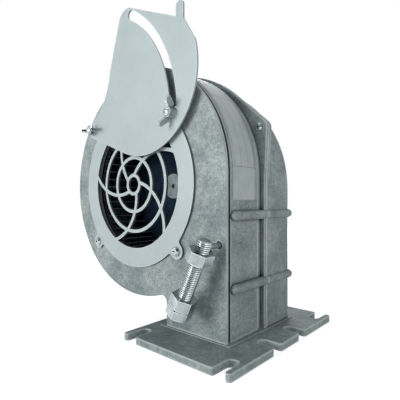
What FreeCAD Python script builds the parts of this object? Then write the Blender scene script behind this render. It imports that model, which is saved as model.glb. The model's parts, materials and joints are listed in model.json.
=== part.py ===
import FreeCAD, Part
import Sketcher
import math
import os
from FreeCAD import Vector

# Boiler fan: a cast casing on a slotted flange, with a guarded inlet, an air
# shutter, a weighted flap in the outlet, a drum impeller and its motor.
# Millimetres. X to the right, Y from the inlet to the motor, Z up. The origin is
# the middle of the outlet opening, on the underside of the base flange.

doc = FreeCAD.newDocument("BoilerFan")
sheet = doc.addObject("Spreadsheet::Sheet", "Sizes")

SIZES = [
    ("axis_offset", 71, "outlet centre to fan axis, sideways"),
    ("axis_height", 122, "base underside to fan axis"),
    ("casing_depth", 87, "front face to rear face"),
    ("front_depth", 50, "front face to the parting plane"),
    ("scroll_left", 94.5, "fan axis to the left of the scroll"),
    ("scroll_top", 101, "fan axis to the top of the front half"),
    ("rear_top", 96, "fan axis to the top of the rear half"),
    ("scroll_bottom", 98, "fan axis to the bottom of the scroll"),
    ("scroll_curve", 97, "radius of the lower left of the scroll"),
    ("neck_width", 63, "outside width of the outlet neck"),
    ("tongue_round", 5.2, "rounding where the scroll meets the neck, outside"),
    ("wall", 4, "thickness of the scroll wall"),
    ("face_wall", 3.5, "thickness of the front and rear walls"),
    ("rim_thick", 2.2, "front rim, along the fan axis"),
    ("rim_round", 1.5, "rounding of the front rim"),
    ("rim_inset", 0.6, "set-back of the front rim"),
    ("rear_round", 3, "rounding of the rear edge"),
    ("groove_width", 2.8, "groove behind the front rim"),
    ("groove_inset", 2.6, "depth of the grooves beside the band"),
    ("band_inset", 0.8, "set-back of the band between the grooves"),
    ("seam_groove", 6, "groove beside the parting flange"),
    ("seam_thick", 3.5, "each half of the parting flange"),
    ("seam_proud", 1.6, "parting flange and rear half beyond the front half"),
    ("rib_radius", 3.6, "half-round ribs on the neck side"),
    ("rib_proud", 0.5, "middle of the ribs beyond the front half"),
    ("rib_low", 44, "height of the lower rib"),
    ("rib_high", 97, "height of the upper rib"),
    ("rib_start", 5, "front face to the ribs' rounded ends"),
    ("inlet_radius", 58, "hole in the front wall"),
    ("flange_thick", 5.5, "base flange"),
    ("seat_height", 0.8, "raised seat round the neck"),
    ("seat_width", 2, "raised seat beyond the neck"),
    ("flange_front", 75.5, "outlet centre to the flange's front edge"),
    ("flange_back", 73, "outlet centre to the flange's back edge"),
    ("flange_left", 45, "outlet centre to the flange's left edge"),
    ("flange_right", 58, "outlet centre to the flange's right edge"),
    ("flange_corner", 2, "corner radius of the flange"),
    ("slot_width", 9.4, "open bolt slots"),
    ("slot_depth", 18.5, "front and back slots, edge to inner end"),
    ("side_slot_depth", 16, "right-hand slots, edge to inner end"),
    ("slot_left", 35.5, "outlet centre to the left slots"),
    ("slot_right", 49, "outlet centre to the right slots"),
    ("side_slot_front", 19, "outlet centre to the front side slot"),
    ("side_slot_back", 18.5, "outlet centre to the back side slot"),
    ("lug_radius", 7, "lugs of the parting flange"),
    ("lug_reach", 109.2, "fan axis to the lug screws"),
    ("lug_angle", 24.3, "right-hand and left-hand lugs above level"),
    ("lug_low_angle", 213, "bearing of the lower left lug"),
    ("lug_tongue_angle", 277, "bearing of the lug below the scroll"),
    ("lug_screw", 2, "radius of the lug screws"),
    ("lug_screw_length", 9, "lug screws under the head"),
    ("lug_head_radius", 3.5, "heads of the lug screws"),
    ("lug_head_height", 2.4, "heads of the lug screws"),
    ("guard_thick", 2, "inlet guard plate"),
    ("guard_radius", 72.5, "inlet guard, outside"),
    ("guard_opening", 56, "inlet guard, opening"),
    ("guard_bar", 2.8, "width of the guard's bars"),
    ("guard_hub", 8.2, "innermost ring of the guard"),
    ("guard_mid", 23.9, "middle ring of the guard"),
    ("guard_outer", 41.2, "outer ring of the guard"),
    ("spoke_count", 5, "swirl spokes of the guard"),
    ("spoke_start", 83, "angle of a spoke at the hub ring"),
    ("spoke_bend", 47, "angle of a spoke at its bend"),
    ("spoke_bend_radius", 36, "radius of a spoke at its bend"),
    ("spoke_end", 25.6, "angle of a spoke at the opening"),
    ("fixing_side", 54, "fan axis to a guard fixing, each way"),
    ("ear_radius", 6.5, "ears of the guard"),
    ("ear_blend", 3.2, "hollow corners beside the ears"),
    ("boss_radius", 5, "screw bosses behind the front wall"),
    ("boss_depth", 5.5, "screw bosses, beyond the wall"),
    ("small_screw", 2, "radius of the guard screws"),
    ("pan_head_radius", 4, "heads of the guard screws"),
    ("pan_head_height", 2.6, "heads of the guard screws"),
    ("recess_depth", 1, "cross recesses in the screw heads"),
    ("stud_radius", 2.5, "shutter studs"),
    ("stud_bevel", 0.5, "tips of the shutter studs"),
    ("stud_reach", 12, "shutter studs in front of the guard"),
    ("spacer_thick", 3, "nut between guard and shutter"),
    ("spacer_flats", 8, "nut between guard and shutter, across flats"),
    ("face_gap", 0.2, "running gap at the faces of the shutter"),
    ("shutter_thick", 1.5, "shutter plate"),
    ("shutter_radius", 64.3, "round edge of the shutter"),
    ("shutter_centre_x", 70, "pivot to the centre of the round edge"),
    ("shutter_centre_z", 34, "pivot to the centre of the round edge"),
    ("shutter_eye", 8, "round of the shutter about its pivot"),
    ("shutter_eye_end", 135, "end of that round, degrees"),
    ("shutter_slot", 8, "width of the shutter's arc slot"),
    ("slot_set", 1.3, "slot's middle beyond the clamp stud's circle"),
    ("shutter_swing", 59, "travel of the shutter, degrees"),
    ("shutter_round_end", 15, "end of the round edge, degrees"),
    ("tab_width", 8, "finger tab of the shutter"),
    ("tab_right", 120, "pivot to the tab's right side"),
    ("tab_foot", 70, "pivot to the tab's right foot"),
    ("tab_heel", 74, "pivot to the tab's left foot"),
    ("tab_top", 85, "pivot to the tab's top"),
    ("shoulder_x", 43.6, "upper left corner of the shutter"),
    ("shoulder_z", 105.8, "upper left corner of the shutter"),
    ("shoulder_round", 12, "upper left corner of the shutter"),
    ("waist_x", 25, "start of the shutter's hollow edge"),
    ("waist_z", 50, "start of the shutter's hollow edge"),
    ("bend_x", 14, "middle of the shutter's hollow edge"),
    ("bend_z", 23, "middle of the shutter's hollow edge"),
    ("wing_span", 25, "wing nuts, tip to tip"),
    ("wing_height", 10.5, "wing nuts, base to tip"),
    ("wing_thick", 2, "wings"),
    ("wing_hub", 5.2, "wing nuts, radius at the base"),
    ("wing_hub_top", 4.3, "wing nuts, radius at the top of the hub"),
    ("wing_hub_height", 6, "wing nuts, height of the hub"),
    ("thread_gap", 0.05, "moving nuts and plates on a stud, each side"),
    ("pivot_wing_turn", 4, "pivot wing nut as it stands, degrees"),
    ("clamp_wing_turn", 66, "clamp wing nut as it stands, degrees"),
    ("flap_inset", 7.3, "neck's right side to the flap shaft"),
    ("flap_height", 76, "base underside to the flap shaft"),
    ("flap_shaft_radius", 2, "flap shaft"),
    ("flap_running", 0.05, "flap shaft in its holes, each side"),
    ("shaft_mouth", 3, "countersink of the shaft's front hole"),
    ("shaft_entry", 2.2, "flap shaft in the rear wall"),
    ("entry_gap", 0.2, "end of the flap shaft to the bottom of its hole"),
    ("flap_eye_wall", 1, "rolled eye of the flap"),
    ("flap_thick", 1, "flap plate"),
    ("flap_length", 69.5, "flap shaft to the flap's edge"),
    ("flap_gap", 0.8, "flap to the walls of the neck"),
    ("weight_reach", 17.5, "casing front face to the weight's axis"),
    ("weight_lean", 25, "weight bolt from plumb, degrees"),
    ("weight_radius", 5, "weight bolt"),
    ("weight_above", 5.5, "weight bolt above the flap shaft"),
    ("weight_below", 48.8, "flap shaft to the bolt's head"),
    ("weight_flats", 16.6, "bolt head and nuts across flats"),
    ("weight_head", 6.8, "height of the bolt's head"),
    ("weight_tip", 0.6, "bevel of the bolt's tip"),
    ("weight_turn", 22, "lower nut and bolt head against the clamp nut, degrees"),
    ("weight_nut_height", 8.4, "height of each nut"),
    ("nut_seat", 0.5, "nut to shaft, and nut to head"),
    ("impeller_radius", 69, "impeller, outside"),
    ("impeller_eye", 58.5, "impeller, inside of the blades"),
    ("impeller_start", 6, "casing front face to the impeller"),
    ("impeller_width", 44, "impeller, front ring to back plate"),
    ("impeller_sheet", 1.5, "rings of the impeller"),
    ("blade_count", 48, "blades of the impeller"),
    ("blade_thick", 0.8, "blades of the impeller"),
    ("blade_mid_lead", 1.2, "lead of a blade's middle, degrees"),
    ("blade_lead", 5.5, "lead of a blade's outer edge, degrees"),
    ("hub_flange", 12, "radius of the hub's face"),
    ("hub_radius", 9.5, "radius of the hub behind the plate"),
    ("hub_depth", 6.5, "hub behind the plate"),
    ("hub_face", 3, "hub in front of the plate"),
    ("hub_eye", 2.4, "extractor hole in the hub's face"),
    ("shaft_radius", 4, "motor shaft"),
    ("shaft_step", 5, "motor shaft between the bearings"),
    ("grub_radius", 1.5, "grub screw in the hub"),
    ("cup_radius", 54, "recess in the rear wall"),
    ("hub_gap", 1.5, "impeller hub to the floor of the recess"),
    ("spigot_radius", 17, "spigot of the motor in the recess"),
    ("spigot_gap", 0.1, "spigot in its hole, each side"),
    ("motor_radius", 44, "motor housing over its body"),
    ("motor_wall", 3, "motor housing"),
    ("fin_count", 20, "fins of the motor housing"),
    ("fin_height", 3, "fins of the motor housing"),
    ("fin_thick", 2, "fins of the motor housing"),
    ("shield_thick", 10, "motor end shields"),
    ("housing_length", 44, "motor housing between the shields"),
    ("winding_gap", 3, "windings to the end shields"),
    ("rotor_radius", 22, "rotor stack"),
    ("air_gap", 0.5, "rotor to stator"),
    ("core_slots", 18, "slots of the stator"),
    ("core_slot_inner", 25, "slots of the stator, inner end"),
    ("core_slot_outer", 35, "slots of the stator, outer end"),
    ("core_slot_width", 4, "slots of the stator"),
    ("winding_cover", 1, "end turns beyond the slots"),
    ("winding_inset", 0.5, "end turns inside the slots"),
    ("winding_length", 5, "winding overhang"),
    ("bearing_outer", 11, "bearing outer radius"),
    ("bearing_width", 7, "bearing width"),
    ("bearing_land", 1.7, "rings of a bearing at its faces"),
    ("bearing_recess", 0.4, "set-back of a bearing's shields"),
    ("shaft_gap", 0.6, "shaft in the front shield, each side"),
    ("shoulder_gap", 0.3, "shaft shoulder to a bearing"),
    ("bearing_running", 0.05, "shaft in its bearings, each side"),
    ("tie_out", 4, "motor housing to the tie screws"),
    ("tie_ear", 4.5, "ears for the tie screws"),
    ("tie_screw", 2, "radius of the tie screws"),
    ("mount_bite", 6, "mounting screws in the front shield"),
    ("shield_bevel", 2.2, "edge of the rear shield"),
    ("mount_reach", 30, "motor axis to the mounting screws"),
    ("gland_flats", 14, "cable gland across flats"),
    ("gland_bore", 3.2, "cable gland, cable hole"),
    ("gland_thread", 5, "cable gland, threads"),
    ("gland_hex", 3, "cable gland, hexagon"),
    ("gland_tail", 5, "cable gland, lower thread"),
    ("gland_nut_length", 8, "cable gland nut"),
    ("gland_out", 4, "motor housing to the gland's seat"),
    ("gland_boss_radius", 8.5, "boss that carries the gland"),
    ("gland_inset", 12, "rear end of the housing to the gland"),
]
FIRST_ROW = 1
for row, (alias, amount, note) in enumerate(SIZES, FIRST_ROW):
    sheet.set("A%d" % row, alias)
    sheet.set("B%d" % row, str(amount))
    sheet.setAlias("B%d" % row, alias)
    sheet.set("C%d" % row, note)
doc.recompute()


class Size:
    """A number with the expression that ties it to the sheet."""

    def __init__(self, value, text):
        self.value = value
        self.text = text

    def __add__(self, other):
        other = as_size(other)
        return Size(self.value + other.value, "(%s + %s)" % (self.text, other.text))

    def __sub__(self, other):
        other = as_size(other)
        return Size(self.value - other.value, "(%s - %s)" % (self.text, other.text))

    def __mul__(self, other):
        other = as_size(other)
        return Size(self.value * other.value, "(%s * %s)" % (self.text, other.text))

    def __truediv__(self, other):
        other = as_size(other)
        return Size(self.value / other.value, "(%s / %s)" % (self.text, other.text))

    def __neg__(self):
        return Size(-self.value, "(0 - %s)" % self.text)


def as_size(number):
    return number if isinstance(number, Size) else Size(float(number), "%r" % float(number))


def cosine(angle):
    return Size(math.cos(math.radians(angle.value)), "cos(%s)" % angle.text)


def sine(angle):
    return Size(math.sin(math.radians(angle.value)), "sin(%s)" % angle.text)


class Sheet:
    """The driving sizes by name."""


S = Sheet()
for alias, amount, note in SIZES:
    setattr(S, alias, Size(float(sheet.get(alias)), "Sizes." + alias))

# Places that several pieces share.
ZERO = as_size(0)
TURN = 360.0
FAN_X = -S.axis_offset
FAN_Z = S.axis_height
FRONT = -(S.casing_depth / 2)
REAR = S.casing_depth / 2
SEAM = FRONT + S.front_depth
NECK_HALF = S.neck_width / 2
GUARD_FACE = FRONT - S.guard_thick
SHUTTER_BACK = GUARD_FACE - S.spacer_thick - S.face_gap
SHUTTER_FACE = SHUTTER_BACK - S.shutter_thick
NUT_BASE = SHUTTER_FACE - S.face_gap
STUD_END = GUARD_FACE - S.stud_reach
FLAP_X = NECK_HALF - S.flap_inset
WEIGHT_Y = FRONT - S.weight_reach
IMPELLER_FRONT = FRONT + S.impeller_start
PLATE_FRONT = IMPELLER_FRONT + S.impeller_width
PLATE_BACK = PLATE_FRONT + S.impeller_sheet
HUB_BACK = PLATE_BACK + S.hub_depth
CUP_FACE = HUB_BACK + S.hub_gap
CUP_FLOOR = CUP_FACE + S.face_wall
HOUSING_START = CUP_FLOOR + S.shield_thick
HOUSING_END = HOUSING_START + S.housing_length
MOTOR_END = HOUSING_END + S.shield_thick
CORE_START = HOUSING_START + S.winding_gap + S.winding_length
CORE_END = HOUSING_END - S.winding_gap - S.winding_length
CORE_LENGTH = CORE_END - CORE_START
FRONT_BEARING = HOUSING_START - S.bearing_width
REAR_BEARING = HOUSING_END
FLAP_START = FRONT + S.face_wall + S.flap_gap
FLAP_DEPTH = S.casing_depth - (S.face_wall + S.flap_gap) * 2
GLAND_Y = HOUSING_END - S.gland_inset
GLAND_SEAT = FAN_Z - S.motor_radius - S.gland_out
NECK_FOOT = S.flange_thick + S.seat_height
RIB_X = NECK_HALF + S.rib_proud
NEAR = 0.01
TINY = 1e-9
# Share of a slanted reach that runs along each of two square axes.
DIAGONAL = math.sqrt(0.5)
# Bearing of the first corner of a hexagon that has flats to the left and right.
HEXAGON_TURN = as_size(30)
CORNERS = ((-1, 1), (1, 1), (-1, -1), (1, -1))
# A pan head's profile as shares of its height and radius, and its recess as shares of the radius.
PAN_SHAPE = ((1, 0), (1, 0.6), (0.55, 0.95), (0, 1))
RECESS_ARM = 0.55
RECESS_HALF = 0.13
# One wing of a wing nut: distance from the axis, height, and corner radius, as shares of the size.
WING_SHAPE = (
    (0.24, 0.1, 0),
    (0.56, 0.12, 0.1),
    (1, 0.72, 0.1),
    (0.86, 1, 0.1),
    (0.62, 0.92, 0.1),
    (0.24, 0.5, 0),
)

bodies = []


def new_body(label):
    body = doc.addObject("PartDesign::Body", label)
    body.Label = label
    body.AllowCompound = True
    bodies.append(body)
    return body


def polar(radius, degrees):
    return Vector(radius * math.cos(math.radians(degrees)), radius * math.sin(math.radians(degrees)), 0)


def corner_arc(before, corner, after, radius):
    """Start, middle and end of the arc that rounds a corner."""
    back = (before - corner).normalize()
    ahead = (after - corner).normalize()
    half = back.getAngle(ahead) / 2
    reach = radius / math.tan(half)
    middle = (back + ahead).normalize() * (radius / math.sin(half) - radius)
    return corner + back * reach, corner + middle, corner + ahead * reach


def arc_band(first, bend, last, half):
    """A curved strip through three points, half its width to each side."""
    spine = Part.Arc(first, bend, last).toShape().Curve
    sides = []
    for radius in (spine.Radius + half, spine.Radius - half):
        share = radius / spine.Radius
        sides.append([spine.Center + (spot - spine.Center) * share for spot in (first, bend, last)])
    outer, inner = sides
    return [
        Part.Arc(*outer),
        Part.LineSegment(outer[-1], inner[-1]),
        Part.Arc(*reversed(inner)),
        Part.LineSegment(inner[0], outer[0]),
    ]


class Drawing:
    """A sketch on one of its body's planes. Its local axes are named in each maker below."""

    def __init__(self, body, role, local_x, local_y, depth):
        plane = [item for item in body.Origin.OriginFeatures if item.Role == role][0]
        self.sketch = body.newObject("Sketcher::SketchObject", "Sketch")
        self.sketch.AttachmentSupport = [(plane, "")]
        self.sketch.MapMode = "FlatFace"
        for axis, place in zip("xyz", (local_x, local_y, depth)):
            self.sketch.setExpression("AttachmentOffset.Base." + axis, place.text)

    def bind(self, size, kind, *points):
        index = self.sketch.addConstraint(Sketcher.Constraint(kind, *points, size.value))
        self.sketch.setExpression("Constraints[%d]" % index, size.text)

    def hold(self, item, point, x, y):
        """Ties one point of a curve to its place in the sketch."""
        for kind, axis, place in (("DistanceX", -2, as_size(x)), ("DistanceY", -1, as_size(y))):
            if abs(place.value) < TINY:
                self.sketch.addConstraint(Sketcher.Constraint("PointOnObject", item, point, axis))
            else:
                self.bind(place, kind, item, point)

    def circle(self, radius, x=0, y=0):
        centre = Vector(as_size(x).value, as_size(y).value, 0)
        item = self.sketch.addGeometry(Part.Circle(centre, Vector(0, 0, 1), radius.value))
        self.bind(radius, "Radius", item)
        self.hold(item, 3, x, y)

    def polygon(self, *corners):
        places = [Vector(as_size(x).value, as_size(y).value, 0) for x, y in corners]
        items = []
        for start, end in zip(places, places[1:] + places[:1]):
            items.append(self.sketch.addGeometry(Part.LineSegment(start, end)))
        for item, after in zip(items, items[1:] + items[:1]):
            self.sketch.addConstraint(Sketcher.Constraint("Coincident", item, 2, after, 1))
        for item, (x, y) in zip(items, corners):
            self.hold(item, 1, x, y)

    def rectangle(self, left, low, right, high):
        self.polygon((left, low), (right, low), (right, high), (left, high))

    def hexagon(self, flats, x=0, y=0, turn=HEXAGON_TURN):
        """A regular hexagon, worked out from its width across flats."""
        reach = as_size(flats) / (2 * math.cos(math.radians(30)))
        corners = []
        for number in range(6):
            angle = as_size(turn) + 60 * number
            corners.append((as_size(x) + reach * cosine(angle), as_size(y) + reach * sine(angle)))
        self.polygon(*corners)

    def rounded(self, corners):
        """A closed outline of straight runs, each corner rounded to its own radius."""
        places = [Vector(as_size(x).value, as_size(y).value, 0) for x, y, radius in corners]
        radii = [as_size(radius).value for x, y, radius in corners]
        count = len(places)
        arcs = [
            corner_arc(places[i - 1], places[i], places[(i + 1) % count], radii[i])
            for i in range(count)
        ]
        curves = []
        for number, (first, middle, last) in enumerate(arcs):
            if radii[number] > NEAR:
                curves.append(Part.Arc(first, middle, last))
            following = arcs[(number + 1) % count][0]
            if (following - last).Length > NEAR:
                curves.append(Part.LineSegment(last, following))
        self.curves(*curves)

    def curves(self, *curves):
        """Lines and arcs worked out from the sheet's sizes, fixed where they are."""
        for curve in curves:
            item = self.sketch.addGeometry(curve)
            self.sketch.addConstraint(Sketcher.Constraint("Block", item))


def facing_front(body, y, x=FAN_X, z=FAN_Z):
    """A sketch in a plane across Y: its x is X and its y is Z, from the point given."""
    return Drawing(body, "XZ_Plane", as_size(x), as_size(z), -as_size(y))


def facing_up(body, z, x=ZERO, y=ZERO):
    """A sketch in a level plane: its x is X and its y is Y, from the point given."""
    return Drawing(body, "XY_Plane", as_size(x), as_size(y), as_size(z))


def along_axis(body, x=FAN_X, z=FAN_Z):
    """A sketch in the plane through a Y-wise axis: its x is Y and its y is the radius."""
    return Drawing(body, "YZ_Plane", ZERO, as_size(z), as_size(x))


def pad(body, drawing, length, name, backward=True):
    """Adds a sketch's depth. On a sketch facing front, backward goes from front to rear."""
    feature = body.newObject("PartDesign::Pad", name)
    feature.Profile = drawing.sketch
    feature.Reversed = backward
    feature.setExpression("Length", as_size(length).text)
    feature.Refine = False
    body.Tip = feature
    return feature


def pocket(body, drawing, length, name, backward=False):
    """Cuts a sketch's depth. On a sketch facing front, the cut goes from front to rear."""
    feature = body.newObject("PartDesign::Pocket", name)
    feature.Profile = drawing.sketch
    feature.Reversed = backward
    feature.setExpression("Length", as_size(length).text)
    feature.Refine = False
    body.Tip = feature
    return feature


def revolve(body, drawing, name, kind="PartDesign::Revolution", axis="H_Axis"):
    """Turns a profile about its sketch's level or upright axis."""
    feature = body.newObject(kind, name)
    feature.Profile = drawing.sketch
    feature.ReferenceAxis = (drawing.sketch, [axis])
    feature.Angle = TURN
    body.Tip = feature
    return feature


def ring_of(body, features, drawing, count, name):
    """Repeats features evenly about the middle of their sketch."""
    feature = body.newObject("PartDesign::PolarPattern", name)
    feature.Originals = features
    feature.Axis = (drawing.sketch, ["N_Axis"])
    feature.Angle = TURN
    feature.setExpression("Occurrences", as_size(count).text)
    body.Tip = feature
    return feature


def soften(body, kind, size, chosen, name):
    """Rounds or bevels the edges of the body's last shape that a test picks."""
    doc.recompute()
    base = body.Tip
    names = ["Edge%d" % (i + 1) for i, edge in enumerate(base.Shape.Edges) if chosen(edge)]
    feature = body.newObject("PartDesign::" + kind, name)
    feature.Base = (base, names)
    feature.setExpression("Radius" if kind == "Fillet" else "Size", as_size(size).text)
    body.Tip = feature
    return feature


def finish(body):
    """Merges the faces that lie in one surface."""
    body.Tip.Refine = True


# The scroll


def scroll_arcs(grow, crown=S.scroll_top):
    """Centre and radius of the scroll's lower left, upper left and right-hand arcs."""
    left = (S.scroll_left + grow).value
    top = (crown + grow).value
    bottom = (S.scroll_bottom + grow).value
    low = (S.scroll_curve + grow).value
    right = (S.axis_offset + NECK_HALF + grow).value
    low_x = low - left
    low_z = low - bottom
    high = top - low_z
    high_x = high - left
    end = right - high_x
    return (low_x, low_z, low), (high_x, low_z, high), (high_x, top - end, end)


def scroll(drawing, grow, floor, crown=S.scroll_top):
    """The casing's outline from the front: three arcs that meet smoothly, and the neck.

    grow moves every side outwards. floor is the height where the neck ends, and crown the
    height of the scroll's top over the fan axis.
    """
    lower_arc, upper_arc, last_arc = scroll_arcs(grow, crown)
    low_x, low_z, low = lower_arc
    throat = S.axis_offset - NECK_HALF - grow
    tongue = S.tongue_round - grow
    tongue_x = throat.value - tongue.value
    between = low + tongue.value
    reach = tongue_x - low_x
    tongue_z = low_z - math.sqrt(between**2 - reach**2)
    tongue_angle = math.atan2(low_z - tongue_z, -reach)
    half_turn = math.pi
    spans = (
        (lower_arc, half_turn, tongue_angle + half_turn),
        (upper_arc, half_turn / 2, half_turn),
        (last_arc, 0, half_turn / 2),
        ((tongue_x, tongue_z, tongue.value), 0, tongue_angle),
    )
    arcs = []
    for (x, z, radius), start, end in spans:
        circle = Part.Circle(Vector(x, z, 0), Vector(0, 0, 1), radius)
        arcs.append(Part.ArcOfCircle(circle, start, end))
    base = as_size(floor) - FAN_Z
    right = S.axis_offset + NECK_HALF + grow
    neck_top = Vector(throat.value, tongue_z, 0)
    foot_left = Vector(throat.value, base.value, 0)
    foot_right = Vector(right.value, base.value, 0)
    corner = Vector(right.value, last_arc[1], 0)
    sketch = drawing.sketch
    lines = [
        Part.LineSegment(neck_top, foot_left),
        Part.LineSegment(foot_left, foot_right),
        Part.LineSegment(foot_right, corner),
    ]
    c0, c1, c2, c3 = (sketch.addGeometry(arc) for arc in arcs)
    l0, l1, l2 = (sketch.addGeometry(line) for line in lines)
    joint = Sketcher.Constraint
    sketch.addConstraint(joint("Tangent", c0, 1, c1, 2))
    sketch.addConstraint(joint("Tangent", c1, 1, c2, 2))
    sketch.addConstraint(joint("Tangent", c2, 1, l2, 2))
    sketch.addConstraint(joint("Tangent", c0, 2, c3, 2))
    sketch.addConstraint(joint("Tangent", c3, 1, l0, 1))
    sketch.addConstraint(joint("Coincident", l0, 2, l1, 1))
    sketch.addConstraint(joint("Coincident", l1, 2, l2, 1))
    sketch.addConstraint(joint("Vertical", l0))
    sketch.addConstraint(joint("Horizontal", l1))
    sketch.addConstraint(joint("Vertical", l2))
    sketch.addConstraint(joint("Horizontal", c0, 3, c0, 1))
    sketch.addConstraint(joint("Vertical", c1, 3, c1, 1))
    drawing.bind(S.scroll_curve + grow, "Radius", c0)
    drawing.bind(tongue, "Radius", c3)
    drawing.bind(S.scroll_curve - S.scroll_left, "DistanceX", c0, 3)
    drawing.bind(S.scroll_curve - S.scroll_bottom, "DistanceY", c0, 3)
    drawing.bind(crown + grow, "DistanceY", c1, 1)
    drawing.bind(right, "DistanceX", l1, 2)
    drawing.bind(throat, "DistanceX", l1, 1)
    drawing.bind(base, "DistanceY", l1, 1)


def lug_places():
    """The parting flange's screws, from the fan axis."""
    angles = (S.lug_angle, -S.lug_angle + 180, S.lug_low_angle, S.lug_tongue_angle)
    side = S.scroll_left + S.seam_proud + S.lug_screw * 2
    reaches = (S.lug_reach, side, side, S.scroll_bottom + S.seam_proud + S.lug_screw * 2)
    return [(reach * cosine(angle), reach * sine(angle)) for angle, reach in zip(angles, reaches)]


def lug_outline(drawing, x, z, tip, root, hub=(0, 0)):
    """A lug with a round tip. Its flanks run in tangent to a circle of radius root about hub."""
    centre = Vector(as_size(x).value, as_size(z).value, 0)
    middle = Vector(hub[0], hub[1], 0)
    out = centre - middle
    bearing = math.degrees(math.atan2(out.y, out.x))
    swing = math.degrees(math.acos((root - tip) / out.Length))
    near = centre + polar(tip, bearing - swing)
    far = centre + polar(tip, bearing + swing)
    first = middle + polar(root, bearing - swing)
    second = middle + polar(root, bearing + swing)
    outermost = centre + polar(tip, bearing)
    inner = middle + polar(root - tip / 2, bearing)
    drawing.curves(
        Part.LineSegment(first, near),
        Part.Arc(near, outermost, far),
        Part.LineSegment(far, second),
        Part.Arc(second, inner, first),
    )


def seam_flange(body, start):
    """Half of the parting flange, with its lugs."""
    rim = facing_front(body, start)
    scroll(rim, S.seam_proud, NECK_FOOT)
    pad(body, rim, S.seam_thick, "SeamFlange")
    lower, upper, last = scroll_arcs(S.seam_proud)
    for (x, z), (hub_x, hub_z, root) in zip(lug_places(), (last, upper, lower, lower)):
        lug = facing_front(body, start)
        lug_outline(lug, x, z, S.lug_radius.value, root, (hub_x, hub_z))
        pad(body, lug, S.seam_thick, "Lug")


def lug_holes(body, start):
    holes = facing_front(body, start)
    for x, z in lug_places():
        holes.circle(S.lug_screw, x, z)
    pocket(body, holes, S.seam_thick, "LugHoles")


def side_ribs(body, start, length, ball):
    """The two half-round ribs on the side of the neck, each with a ball at one end."""
    ribs = facing_front(body, start, RIB_X, ZERO)
    ribs.circle(S.rib_radius, 0, S.rib_low)
    ribs.circle(S.rib_radius, 0, S.rib_high)
    pad(body, ribs, length, "Ribs")
    middle = ball.value
    radius = S.rib_radius.value
    for height in (S.rib_low, S.rib_high):
        half = along_axis(body, RIB_X, height)
        arc = Part.Circle(Vector(middle, 0, 0), Vector(0, 0, 1), radius)
        ends = [Vector(middle - radius, 0, 0), Vector(middle + radius, 0, 0)]
        half.curves(Part.ArcOfCircle(arc, 0, math.pi), Part.LineSegment(*ends))
        revolve(body, half, "RibEnd")


def on_face(edge, y):
    """The outline of a front or rear face, apart from the foot of the neck."""
    box = edge.BoundBox
    level = abs(box.YMin - y.value) < NEAR and abs(box.YMax - y.value) < NEAR
    return level and box.ZMax > NECK_FOOT.value + NEAR


def front_casing():
    body = new_body("front_casing")
    band_length = (
        S.front_depth - S.rim_thick - S.groove_width - S.seam_groove - S.seam_thick
    )
    steps = [
        (-S.rim_inset, S.rim_thick, "Rim"),
        (-S.groove_inset, S.groove_width, "Groove"),
        (-S.band_inset, band_length, "Band"),
        (-S.groove_inset, S.seam_groove, "SeamGroove"),
    ]
    place = FRONT
    for grow, length, name in steps:
        outline = facing_front(body, place)
        scroll(outline, grow, NECK_FOOT)
        pad(body, outline, length, name)
        if name == "Rim":
            soften(body, "Fillet", S.rim_round, lambda edge: on_face(edge, FRONT), "RimRound")
        place = place + length
    seam_flange(body, SEAM - S.seam_thick)
    rib_end = FRONT + S.rib_start + S.rib_radius
    side_ribs(body, rib_end, SEAM - rib_end, rib_end)
    hollow = facing_front(body, FRONT + S.face_wall)
    scroll(hollow, -S.wall, ZERO)
    pocket(body, hollow, S.front_depth, "Hollow")
    bosses = facing_front(body, FRONT + S.face_wall)
    holes = facing_front(body, FRONT)
    for across, up in CORNERS:
        place = (S.fixing_side * across, S.fixing_side * up)
        bosses.circle(S.boss_radius, *place)
        holes.circle(S.stud_radius if up > 0 else S.small_screw, *place)
    pad(body, bosses, S.boss_depth, "Bosses")
    pocket(body, holes, S.face_wall + S.boss_depth, "FixingHoles")
    inlet = facing_front(body, FRONT)
    inlet.circle(S.inlet_radius)
    pocket(body, inlet, S.face_wall, "Inlet")
    shaft_hole = facing_front(body, FRONT, FLAP_X, S.flap_height)
    shaft_hole.circle(S.flap_shaft_radius + S.flap_running)
    pocket(body, shaft_hole, S.face_wall, "ShaftHole")
    mouth = facing_front(body, FRONT, FLAP_X, S.flap_height)
    mouth.circle(S.shaft_mouth)
    pocket(body, mouth, S.face_wall / 2, "ShaftMouth")
    lug_holes(body, SEAM - S.seam_thick)
    finish(body)


# The rear half, in one piece with the base flange


def flange_outline():
    """Corners of the base flange with the radius of each, and its open bolt slots.

    Two slots are in front, two behind and two on the right. A slot's inner end is a half
    circle, so both its inner corners have half the slot's width as their radius.
    """
    corner = S.flange_corner
    half = S.slot_width / 2
    front = -S.flange_front
    back = S.flange_back
    right = S.flange_right
    outline = [(-S.flange_left, front, corner)]
    for x in (-S.slot_left, S.slot_right):
        end = front + S.slot_depth
        outline += [(x - half, front, corner), (x - half, end, half)]
        outline += [(x + half, end, half), (x + half, front, corner)]
    outline.append((right, front, corner))
    for y in (-S.side_slot_front, S.side_slot_back):
        end = right - S.side_slot_depth
        outline += [(right, y - half, corner), (end, y - half, half)]
        outline += [(end, y + half, half), (right, y + half, corner)]
    outline.append((right, back, corner))
    for x in (S.slot_right, -S.slot_left):
        end = back - S.slot_depth
        outline += [(x + half, back, corner), (x + half, end, half)]
        outline += [(x - half, end, half), (x - half, back, corner)]
    outline.append((-S.flange_left, back, corner))
    return outline


def mount_places():
    """The screws that hold the motor in its recess, from the fan axis."""
    side = S.mount_reach * DIAGONAL
    return [(side * across, side * up) for across, up in CORNERS]


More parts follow.
